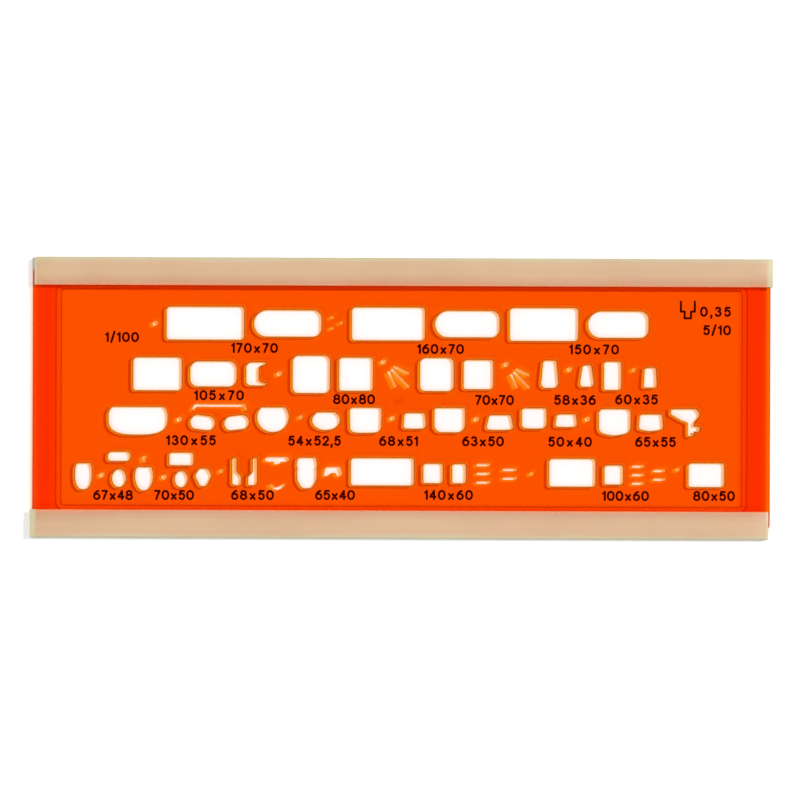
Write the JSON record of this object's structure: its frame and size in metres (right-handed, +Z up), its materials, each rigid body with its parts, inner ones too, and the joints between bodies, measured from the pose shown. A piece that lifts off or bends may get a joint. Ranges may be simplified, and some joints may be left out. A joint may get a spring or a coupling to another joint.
{
  "type": "drafting template",
  "caption": "See-through orange drafting template with bath, basin and toilet outlines cut through its thin field, and ivory push-on rails along its long edges that hold it off the paper.",
  "frame": {"origin": "on the drawing surface, under the middle of the template", "axes": "+X along the rails towards the right end of the figures, +Y across them towards the upper rail, +Z up from the drawing surface"},
  "size_m": [0.1658, 0.0626, 0.0035],
  "materials": {
    "orange_plastic": "see-through, polished, orange all through",
    "ivory_plastic": "satin, slightly translucent ivory"
  },
  "bodies": {
    "plate": {"template_plate": "orange_plastic"},
    "upper_rail": {"upper_rail": "ivory_plastic"},
    "lower_rail": {"lower_rail": "ivory_plastic"}
  },
  "joints": [
    {"name": "upper_rail_slide", "type": "slide", "parent": "plate", "child": "upper_rail", "axis": [1, 0, 0], "range_m": [-0.15, 0.15]},
    {"name": "lower_rail_slide", "type": "slide", "parent": "plate", "child": "lower_rail", "axis": [1, 0, 0], "range_m": [-0.15, 0.15]}
  ]
}
